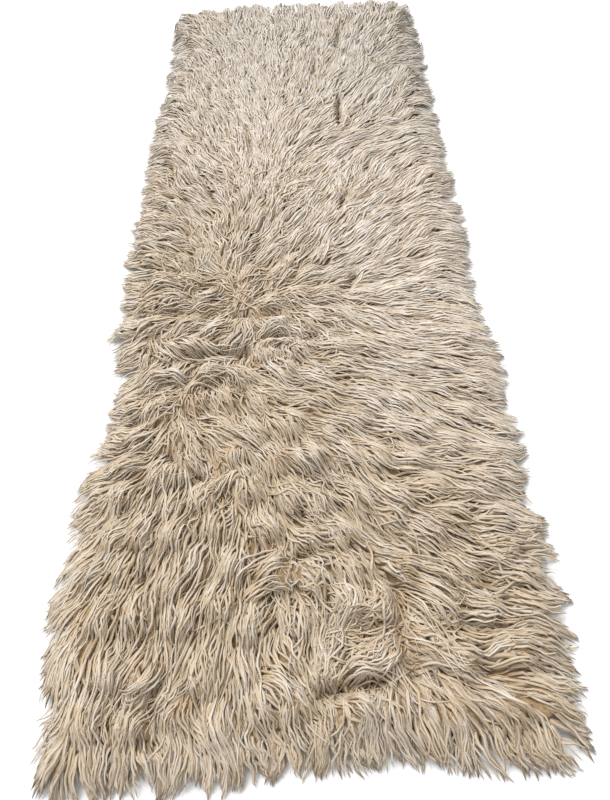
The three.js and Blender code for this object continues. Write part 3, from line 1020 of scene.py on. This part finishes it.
def fallen_across(layers, edges, least, length, steps, depth_range):
    """Locks that have fallen across the places where fewer than the least number of locks lie: rooted
    beyond the place, nearly straight, and headed as the comb is on this side of it."""
    middles = [(edge[1:] + edge[:-1]) / 2 for edge in edges]
    x, y = (side.ravel() for side in np.meshgrid(*middles, indexing="ij"))
    thin = (layers.ravel() < least) & (inside(x, y) > REACH + 0.004)
    x, y = x[thin], y[thin]
    heading = turned(look_up(flow_grid, x, y), 0.25 * rng.normal(size=len(x)))
    back = length * (0.25 + 0.30 * rng.random(len(x)))
    roots = np.stack([x, y], -1) - back[:, None] * heading + 0.005 * rng.normal(size=(len(x), 2))
    kept = inside(*roots.T) > REACH
    roots, heading = roots[kept], heading[kept]
    count = len(roots)
    lengths = length * (0.8 + 0.3 * rng.random(count))
    curl, hook = 0.8 * rng.normal(size=count), 1.2 * rng.normal(size=count)
    plan = fit_inside(follow(roots, heading, lengths, steps, np.full(count, 0.90), curl, hook), 0.0)
    plan = waves(plan, 0.001 + 0.002 * rng.random(count), 1 + rng.random(count), rng.random(count))
    depth = depth_range[0] + (depth_range[1] - depth_range[0]) * rng.random(count)
    print(f"{count} locks fallen across {int(thin.sum())} thin places")
    return settle(plan, depth, np.ones(count))


# %% [markdown]
# ## From paths to locks
#
# A lock is a tube of three sides that is widest near its root and ends in a point, a little flatter
# than wide. Three sides are enough, because smooth shading rounds them and a lock is a few pixels
# wide. Curves with a bevel or hair particles could do this too; as arrays it is one calculation, and
# every lock is closed at both ends.

# %% Tubes
SIDES_OF_LOCK = 3
STRAND_FLATNESS = 0.46  # height over width
LOCK_FLATNESS = 0.38
SPUN = 0.8  # turns of the wool from root to tip, in a measure of chance
AT_ROOT = 0.55  # a lock's width there, as a share of its widest
GREYNESS = 0.9  # of the wool at the far end
# In hollows the locks are painted darker and warmer: painted shade.
HOLLOW_SHADE_DULLING = 0.5  # of the tone in hollows, as painted shade
HOLLOW_SHADE_WARMING = 0.45


def tube_points(paths, radius, twist, flatness):
    """Rings of points round each path but its last point, which is the tip: the path's own side and
    upper directions, turned by each corner's angle."""
    way = unit(np.gradient(paths, axis=1))[:, :-1]
    side = unit(np.cross(way, [0.0, 0.0, 1.0]) + 1e-6)
    upper = np.cross(side, way)
    corner = tau * np.arange(SIDES_OF_LOCK) / SIDES_OF_LOCK
    angle = twist[..., None] + corner
    wide = np.cos(angle)[..., None] * side[:, :, None]
    tall = flatness * np.sin(angle)[..., None] * upper[:, :, None]
    rings = paths[:, :-1, None] + radius[:, :-1, None, None] * (wide + tall)
    flat = rings.reshape(len(paths), -1, 3)
    return np.concatenate([flat, paths[:, -1:]], 1)


def tube_faces(count, steps):
    """Corners and sizes of the faces of all tubes: quads between rings, three triangles at the tip,
    and one triangle that closes the root. Also each corner's column round the tube and row along it."""
    every_ring, every_side = np.arange(steps - 1), np.arange(SIDES_OF_LOCK)
    ring, side = (part.ravel() for part in np.meshgrid(every_ring, every_side, indexing="ij"))
    after = (side + 1) % SIDES_OF_LOCK
    base, ahead = ring * SIDES_OF_LOCK, (ring + 1) * SIDES_OF_LOCK
    quads = np.stack([base + side, ahead + side, ahead + after, base + after], -1).ravel()
    quad_columns = np.stack([side, side, side + 1, side + 1], -1).ravel()
    quad_rows = np.stack([ring, ring + 1, ring + 1, ring], -1).ravel()
    last, tip = (steps - 1) * SIDES_OF_LOCK, steps * SIDES_OF_LOCK
    side = every_side
    after = (side + 1) % SIDES_OF_LOCK
    points = np.stack([last + side, np.full(SIDES_OF_LOCK, tip), last + after], -1).ravel()
    point_columns = np.stack([side, side + 0.5, side + 1], -1).ravel()
    point_rows = np.tile([steps - 1, steps, steps - 1], SIDES_OF_LOCK)
    corners = np.concatenate([quads, points, side])
    columns = np.concatenate([quad_columns, point_columns, side])
    rows = np.concatenate([quad_rows, point_rows, np.zeros(SIDES_OF_LOCK)])
    sizes = np.concatenate([np.full(len(ring), 4), np.full(SIDES_OF_LOCK + 1, 3)])
    per_tube = steps * SIDES_OF_LOCK + 1
    corners = (np.arange(count)[:, None] * per_tube + corners).ravel()
    return corners, np.tile(sizes, count), np.tile(columns, count), np.tile(rows, count)


# %% A mesh of many locks
def make_locks(name, paths, radius, tone, warmth, wool=strand_wool, flatness=STRAND_FLATNESS):
    """One mesh of many locks. Its first map gives every lock a cell of its own, for painting or
    baking, and its second runs round and along the locks in metres."""
    count, steps = len(paths), paths.shape[1] - 1
    share = np.linspace(0, 1, steps + 1)
    blunt = 1 - 0.25 * smooth((inside(*paths[:, -1, :2].T) - 0.02) / 0.03)
    taper = 1 - (1.25 - 0.75 * blunt)[:, None] * share**2.0
    widths = radius[:, None] * (AT_ROOT + (1 - AT_ROOT) * smooth(share / 0.3)) * taper
    spun = SPUN * rng.normal(size=(count, 1)) * share[:-1]
    twist = -tau / 4 + 0.6 * spun
    points = tube_points(paths, widths, twist, flatness)
    corners, sizes, columns, rows = tube_faces(count, steps)
    per_lock = len(corners) // count
    lock = np.repeat(np.arange(count), per_lock)
    cells = int(np.ceil(np.sqrt(count * 2)))
    rows_of_cells = int(np.ceil(count / cells))
    u = (lock % cells + 0.12 + 0.76 * columns / SIDES_OF_LOCK) / cells
    v = (lock // cells + 0.06 + 0.88 * rows / steps) / rows_of_cells
    girth = tau * radius[lock] * columns / SIDES_OF_LOCK
    length = np.linalg.norm(np.diff(paths, axis=1), axis=-1).sum(1)
    fibre = np.stack([girth + lock * 0.037, length[lock] * rows / steps + lock * 0.011], -1)
    # Painted shade: locks are painted duller and warmer where they cross hollows.
    hollow_shade = look_up(hollow_shade_grid, paths[..., 0], paths[..., 1])
    rings = {
        "along": np.tile(share, (count, 1)),
        "tone": tone[:, None] - HOLLOW_SHADE_DULLING * hollow_shade,
        "warmth": warmth[:, None] + HOLLOW_SHADE_WARMING * hollow_shade,
        "greyness": GREYNESS * smooth((paths[..., 1] - 0.1) / 0.7),
    }
    values = []
    for name_of_value, ring in rings.items():
        at_points = np.concatenate([np.repeat(ring[:, :-1], SIDES_OF_LOCK, 1), ring[:, -1:]], 1)
        values.append((name_of_value, at_points.clip(0, 1).ravel()))
    maps = [("OFBake", np.stack([u, v], -1)), ("fibre", fibre)]
    return make_piece(name, points.reshape(-1, 3), corners, sizes, wool, maps, values)


# %% [markdown]
# Neighbouring locks differ in colour, and places do too: felted pile is yellower. The rest is painted light
# and shade: smooth pile is painted paler as painted light, the near end darker, and what lies deep duller and
# warmer, as painted shade. One number for the tone and one for the warmth of each lock say it all.

# %% Tone and warmth
TONE = 0.30  # from cream at 0 to pale at 1, at the rug's middle
FAR_TONE = 0.14  # by which it falls in the first metre towards the far end
NEAR_SHADE_TONE = 0.22  # by which it falls at the near end, as painted shade
NEAR_SHADE_FROM = 0.25  # from the middle
NEAR_SHADE_BY = 0.40
CALM_LIGHT_TONE = 0.50  # that it gains where the pile is smooth, as painted light


def tones(roots, knot, layer):
    """Each lock's tone, lower towards the far end, painted paler where the pile is smooth as painted light,
    and painted darker at the near end as painted shade; and its warmth, more where felted. The deeper a lock
    lies, the duller and warmer it is painted, as painted shade."""
    x, y = roots.T
    calm = calm_at(x, y)
    tone = TONE - FAR_TONE * np.maximum(y, 0) - NEAR_SHADE_TONE * smooth((-y - NEAR_SHADE_FROM) / NEAR_SHADE_BY)
    tone = tone + 0.16 * drift(x, y, 0.09, 31) + 0.05 * rng.normal(size=len(x)) + CALM_LIGHT_TONE * calm
    warmth = 0.10 - 0.12 * y + 0.12 * drift(x, y, 0.12, 32)
    warmth = warmth + 0.08 * rng.normal(size=len(x)) + 0.22 * knot
    # Painted shade: deeper locks are painted duller and warmer, less so where the pile is smooth.
    below = (layer - 0.4) * (1 - 0.6 * calm)
    return (tone - 0.5 * below).clip(0, 1), (warmth + 0.5 * below).clip(0, 0.9)


# %% [markdown]
# ## The pile in layers
#
# Broad flat locks lie on the felt, each a bundle of strands that its streaks and relief show. Over
# them come single strands, which are what one mostly sees. Both are made in bands along the rug, so
# that no mesh grows too large. One layer of strands alone would need far more of them to hide the
# ground. After each layer the thin places are found, and fallen locks are laid across them.

# %% Roots for all layers
CROWDED = 14  # how much more open the comb is than the least, where every further root is kept


def with_more(pitch):
    """Roots on a lattice, with more where the comb opens and at the rim."""
    more = scatter(0.8 * pitch, REACH)
    more = more[opening(*more.T) > OPENING_LOW + CROWDED * rng.random(len(more))]
    rim = scatter(0.9 * pitch, REACH)
    rim = rim[inside(*rim.T) < REACH + 0.015]
    base = scatter(pitch, REACH)
    print(f"roots at {pitch} m: {len(base)}, with {len(more)} where the comb opens, {len(rim)} at the rim")
    return np.concatenate([base, more, rim])


def in_bands(name, bands, roots, paths, radius, knot, layer, **finish):
    """Pieces of like size, one for each band along the rug."""
    limits = np.quantile(roots[:, 1], np.linspace(0, 1, len(bands) + 1))
    tone, warmth = tones(roots, knot, layer)
    pieces = []
    for band, start, stop in zip(bands, limits[:-1], limits[1:]):
        chosen = (roots[:, 1] >= start) & (roots[:, 1] <= stop)
        parts = (paths[chosen], radius[chosen], tone[chosen], warmth[chosen])
        pieces.append(make_locks(f"{name}_{band}", *parts, **finish))
    return pieces


def with_fallen(rows, fallen, thinnest, spread, knot):
    """The roots, paths, radii, knots and layers of locks, with those of the fallen ones added."""
    count = len(fallen)
    radius = thinnest + spread * rng.random(count)
    further = (fallen[:, 0, :2], fallen, radius, np.full(count, knot), rng.random(count))
    return [np.concatenate(pair) for pair in zip(rows, further)]


# %% Broad locks
COVER_CELL = 0.010  # of the lattice on which thin places are looked for
COVER_WIDTH = 1.3  # a flat lock hides so many radii of what is under it
lock_roots = with_more(0.0160)
lock_at, lock_knot, lock_layer = lock_paths(
    lock_roots, pitch=0.036, length=0.100, steps=6, draw=0.35, depth_range=(0.0020, 0.0050), loose=0.05)
lock_radius = (0.0036 + 0.0018 * rng.random(len(lock_roots))) * (1 - 0.25 * lock_knot)
lock_cover, cell_edges = coverage(lock_at, COVER_WIDTH * lock_radius, COVER_CELL)
fallen = fallen_across(
    lock_cover, cell_edges, least=0.5, length=0.085, steps=6, depth_range=(0.003, 0.007))
lock_rows = (lock_roots, lock_at, lock_radius, lock_knot, lock_layer)
lock_rows = with_fallen(lock_rows, fallen, thinnest=0.0036, spread=0.0012, knot=0.5)
# The broad locks' layers are raised for their colour alone, so that tones() paints them duller and warmer:
# painted shade, since they lie under the strands.
lock_rows[-1] = 0.3 + 0.7 * lock_rows[-1]
broad_locks = in_bands("broad_locks", ("near", "far"), *lock_rows, wool=lock_wool, flatness=LOCK_FLATNESS)

# %% Strands
BANDS = ("near", "near_middle", "far_middle", "far")
THINNED = 0.22  # share of the strands that the far end lacks, and the rest are thicker
THICKER = 0.15
UNDER_STRANDS = 0.6  # how well a broad lock hides the ground, against a strand
strand_roots = with_more(0.0131)
sparse = smooth((strand_roots[:, 1] + 0.4) / 1.0)
strand_roots = strand_roots[rng.random(len(strand_roots)) > THINNED * sparse]
strand_at, strand_knot, strand_layer = lock_paths(
    strand_roots, pitch=0.026, length=0.114, steps=10, draw=0.58, depth_range=(-0.0010, 0.0027), loose=0.03)
strand_radius = 0.0017 + 0.0011 * rng.random(len(strand_roots))
strand_radius = strand_radius * (1 + THICKER * smooth((strand_roots[:, 1] + 0.4) / 1.0))
strand_cover, cell_edges = coverage(strand_at, COVER_WIDTH * strand_radius, COVER_CELL)
both_covers = strand_cover + UNDER_STRANDS * lock_cover
fallen = fallen_across(
    both_covers, cell_edges, least=0.88, length=0.095, steps=10, depth_range=(0.000, 0.005))
strand_rows = (strand_roots, strand_at, strand_radius, strand_knot, strand_layer)
strand_rows = with_fallen(strand_rows, fallen, thinnest=0.0017, spread=0.0008, knot=0.4)
strands = in_bands("strands", BANDS, *strand_rows)

# %% [markdown]
# ## Swept bundles
#
# Where the pile has felted most, whole bundles have curled over and lie on top of it as rolls and hooks, with
# a crease beside them. These are what one remembers of a rug, so each is listed one by one: where it starts,
# its heading there, how far it turns on its way, its length and its width. Its strands lie side by side on
# the same arc, and the middle ones ride highest.

# %% Swept bundles
SWEEPS = table(("x", "y", "heading", "turn", "length", "width"), [
    (-0.320, -0.215, 40, -80, 0.115, 0.030),
    (-0.165, -0.205, 295, -190, 0.090, 0.022),
    (-0.270, -0.335, 275, 85, 0.105, 0.040),
    (-0.235, -0.340, 280, 95, 0.115, 0.040),
    (-0.195, -0.345, 285, 95, 0.110, 0.035),
    (-0.290, -0.360, 290, -40, 0.060, 0.020),
    (-0.170, -0.470, 105, -215, 0.125, 0.026),
    (-0.195, -0.480, 95, -155, 0.080, 0.022),
    (-0.060, -0.380, 75, -125, 0.075, 0.026),
    (-0.070, -0.350, 80, -115, 0.070, 0.026),
    (-0.030, -0.610, 335, -45, 0.080, 0.030),
    (0.000, -0.605, 335, -40, 0.080, 0.030),
    (-0.100, -0.635, 200, 70, 0.070, 0.024),
    (0.145, -0.805, 360, -50, 0.095, 0.030),
    (0.147, -0.823, 342, -36, 0.095, 0.030),
    (0.148, -0.846, 336, -48, 0.085, 0.030),
    (0.050, -0.970, 65, -130, 0.090, 0.028),
    (0.057, -0.985, 5, -120, 0.060, 0.024),
    (0.125, -0.920, 260, -90, 0.065, 0.022),
    (-0.060, -0.950, 5, -95, 0.070, 0.026),
    (-0.020, -0.985, 245, 75, 0.065, 0.024),
    (-0.105, -0.595, 255, 60, 0.070, 0.026),
    (-0.265, -0.440, 20, -75, 0.075, 0.026),
    (-0.205, -0.930, 285, -130, 0.065, 0.022),
    (-0.075, -0.820, 50, -45, 0.070, 0.028),
    (-0.080, -0.850, 65, -95, 0.070, 0.024),
])
STRANDS_IN_SWEEP = 17
SWEEP_STEPS = 9
SWEEP_ROOT = 0.003  # of the strands' ends under the pile's top
SWEEP_LIFT = 0.002  # of the outer strands over the pile
SWEEP_CROWN = 0.007  # further lift of the middle ones
HIGHEST = 0.060  # no strand lies higher over the floor


def sweep_paths():
    """Paths in space of all strands of the sweeps."""
    count = len(SWEEPS) * STRANDS_IN_SWEEP
    x, y, heading, turn, length, width = (
        np.repeat(column(SWEEPS, name), STRANDS_IN_SWEEP)
        for name in ("x", "y", "heading", "turn", "length", "width"))
    across = np.tile(np.linspace(-0.5, 0.5, STRANDS_IN_SWEEP), len(SWEEPS)) + 0.04 * rng.normal(size=count)
    heading = np.radians(heading) + 0.10 * rng.normal(size=count)
    length = length * (1 - 0.3 * rng.random(count))
    way = np.stack([np.cos(heading), np.sin(heading)], -1)
    aside = np.stack([-way[:, 1], way[:, 0]], -1)
    stagger = 0.2 * length * (rng.random(count) - 0.5)
    start = np.stack([x, y], -1) + (across * width)[:, None] * aside + stagger[:, None] * way
    middles = (np.arange(SWEEP_STEPS) + 0.5) / SWEEP_STEPS
    turning = np.radians(turn) * (1 + 0.1 * rng.normal(size=count))
    angle = heading[:, None] + turning[:, None] * middles
    moves = (length / SWEEP_STEPS)[:, None, None] * np.stack([np.cos(angle), np.sin(angle)], -1)
    plan = np.concatenate([start[:, None], start[:, None] + np.cumsum(moves, 1)], 1)
    plan = waves(plan, 0.0006 + 0.0010 * rng.random(count), 1.5 + rng.random(count), rng.random(count))
    share = np.linspace(0, 1, SWEEP_STEPS + 1)
    hump = np.sin(np.pi * share) ** 0.7
    lift = SWEEP_LIFT + SWEEP_CROWN * (1 - np.minimum(2 * np.abs(across), 1) ** 2)
    top = look_up(height_grid, plan[..., 0], plan[..., 1])
    z = top - SWEEP_ROOT + (lift[:, None] + SWEEP_ROOT) * hump + 0.001 * rng.normal(size=(count, 1))
    return np.concatenate([plan, np.minimum(z, HIGHEST)[..., None]], -1)


swept = sweep_paths()
swept_knot = np.full(len(swept), 0.5)
swept_tone, swept_warmth = tones(swept[:, 0, :2], swept_knot, 0.4 * rng.random(len(swept)))
swept_radius = 0.0016 + 0.0010 * rng.random(len(swept))
sweeps = make_locks("swept_bundles", swept, swept_radius, swept_tone, swept_warmth)

# %% [markdown]
# ## Curls
#
# Single strands in felted places don't lie side by side but wind to and fro. They could be random
# tangles, but neighbours felt together, so the phase of their waves drifts slowly from place to place
# and they nest. Their waves are two to three times as wide as those of combed strands.

# %% Curls
curl_roots = scatter(0.0100, REACH)
curl_roots = curl_roots[tangled(*curl_roots.T) > 0.36 + 0.6 * rng.random(len(curl_roots))]
curl_paths, curl_knot, curl_layer = lock_paths(
    curl_roots, pitch=0.022, length=0.075, steps=12, draw=0.5, depth_range=(-0.003, 0.003), loose=0.06)
curl_size = 0.003 + 0.002 * rng.random(len(curl_roots))
curl_phase = 1.2 * drift(*curl_roots.T, 0.028, 51) + 0.12 * rng.random(len(curl_roots))
curl_plan = waves(curl_paths[..., :2], curl_size, 1.5 + 0.3 * rng.random(len(curl_roots)), curl_phase)
curl_paths = np.concatenate([curl_plan, curl_paths[..., 2:]], -1)
curl_radius = 0.0014 + 0.0010 * rng.random(len(curl_roots))
curl_tone, curl_warmth = tones(curl_roots, curl_knot, curl_layer)
curls = make_locks("felted_curls", curl_paths, curl_radius, curl_tone, curl_warmth)

# %% [markdown]
# ## Wisps
#
# Thin ends work loose in use and lie on top at odd angles. Some fourteen hundred of them are enough:
# they break up the edges of the bundles, and the eye takes them for all the fluff of real wool. They
# are the same locks, thinner, paler and looser.

# %% Wisps
wisp_roots = scatter(0.0310, REACH)
wisp_paths, wisp_knot, wisp_layer = lock_paths(
    wisp_roots, pitch=0.012, length=0.090, steps=8, draw=0.2, depth_range=(-0.003, 0.001), loose=0.22)
wisp_radius = 0.0006 + 0.0004 * rng.random(len(wisp_roots))
wisp_tone, wisp_warmth = tones(wisp_roots, wisp_knot, wisp_layer)
wisps = make_locks("wisps", wisp_paths, wisp_radius, (wisp_tone + 0.15).clip(0, 1), 0.6 * wisp_warmth)

# %% [markdown]
# ## Floor and light
#
# The floor is plain and pale. A bright even sky does most of the lighting, as in a studio with white
# walls, and one broad lamp from the far left gives the locks a lit side and a soft shadow.

# %% Floor and light
FLOOR_FINISH = {"Base Color": (0.86, 0.86, 0.86, 1), "Roughness": 0.7}
FLOOR_HALF = 12.0  # half of the floor's side
FLOOR_LEVEL = -0.0002  # just under the rug
KEY_PLACE = (-3.0, 4.0, 8.0)
KEY_SIZE = 6.0
KEY_POWER = 870  # watts
SKY_STRENGTH = 0.79


def make_floor():
    """A large pale plane just below the rug."""
    material = new_material("pale_floor", FLOOR_FINISH)[0]
    mesh = bpy.data.meshes.new("floor")
    signs = ((-1, -1), (1, -1), (1, 1), (-1, 1))
    corners = [(FLOOR_HALF * side, FLOOR_HALF * end, FLOOR_LEVEL) for side, end in signs]
    mesh.from_pydata(corners, [], [(0, 1, 2, 3)])
    mesh.materials.append(material)
    floor = bpy.data.objects.new("floor", mesh)
    bpy.context.scene.collection.objects.link(floor)
    return floor


def make_lamp(name, place, size, power):
    """A square area lamp at a place, facing the middle of the rug."""
    data = bpy.data.lights.new(name, "AREA")
    data.size = size
    data.energy = power
    lamp = bpy.data.objects.new(name, data)
    backward = unit(place)
    right = unit(np.cross([0.0, 0.0, 1.0], backward))
    lamp.matrix_world = pose(right, np.cross(backward, right), backward, place)
    bpy.context.scene.collection.objects.link(lamp)
    return lamp


def light_sky(strength):
    """An even white sky."""
    world = bpy.data.worlds.new("sky")
    world.use_nodes = True
    sky = world.node_tree.nodes["Background"]
    sky.inputs["Color"].default_value = (1.0, 1.0, 1.0, 1)
    sky.inputs["Strength"].default_value = strength
    bpy.context.scene.world = world


floor = make_floor()
key = make_lamp("key", KEY_PLACE, KEY_SIZE, KEY_POWER)
light_sky(SKY_STRENGTH)
bpy.context.scene.view_settings.view_transform = "Standard"
print("lamp power:", key.data.energy, "W")

# %% [markdown]
# ## The pieces and the body
#
# Every piece rides on the one body that the rug has, and together they stand for the imported slab, which is
# hidden.

# %% Attaching the pieces
pile = [felt, *broad_locks, *strands, sweeps, curls, wisps]
for piece in [ground, *pile]:
    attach(piece, "root")
    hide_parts(NODE)
